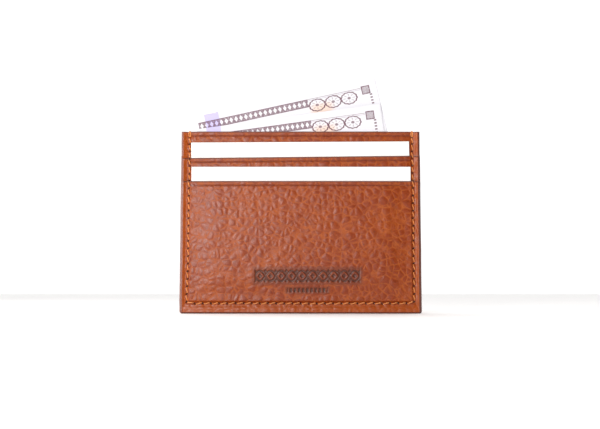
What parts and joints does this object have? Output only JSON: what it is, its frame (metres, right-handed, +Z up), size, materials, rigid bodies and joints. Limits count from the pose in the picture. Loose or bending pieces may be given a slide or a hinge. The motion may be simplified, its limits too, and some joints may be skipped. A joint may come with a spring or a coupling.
{
  "type": "minimalist card wallet",
  "caption": "Slim upright leather card holder with stacked slip pockets on both faces and a central cash pocket, holding plain cards and folded notes.",
  "frame": {"origin": "middle of the base line, on the surface that the wallet stands on", "axes": "+Z up, +X along the width to the right of someone facing the front, front facing -Y"},
  "size_m": [0.1, 0.0068, 0.0992],
  "materials": {
    "leather_outer": "satin",
    "leather_slot": "satin",
    "leather_divider": "satin",
    "thread": "satin",
    "card_board": "matte",
    "note_paper": "matte"
  },
  "bodies": {
    "wallet": {"front_pocket_panel": "leather_outer", "front_t_pocket": "leather_slot", "front_divider": "leather_divider", "back_divider": "leather_divider", "back_t_pocket": "leather_slot", "back_pocket_panel": "leather_outer", "front_seam_thread": "thread", "back_seam_thread": "thread", "left_edge_loop": "thread", "right_edge_loop": "thread", "front_floor_thread": "thread", "back_floor_thread": "thread"},
    "lower_card_body": {"lower_card": "card_board"},
    "upper_card_body": {"upper_card": "card_board"},
    "front_note_body": {"front_note": "note_paper"},
    "rear_note_body": {"rear_note": "note_paper"}
  },
  "joints": [
    {"name": "lower_card_slide", "type": "slide", "parent": "wallet", "child": "lower_card_body", "axis": [0, 0, 1], "range_m": [0, 0.052]},
    {"name": "upper_card_slide", "type": "slide", "parent": "wallet", "child": "upper_card_body", "axis": [0, 0, 1], "range_m": [0, 0.052]},
    {"name": "front_note_slide", "type": "slide", "parent": "wallet", "child": "front_note_body", "axis": [0, 0, 1], "range_m": [0, 0.066]},
    {"name": "rear_note_slide", "type": "slide", "parent": "wallet", "child": "rear_note_body", "axis": [0, 0, 1], "range_m": [0, 0.06]}
  ]
}
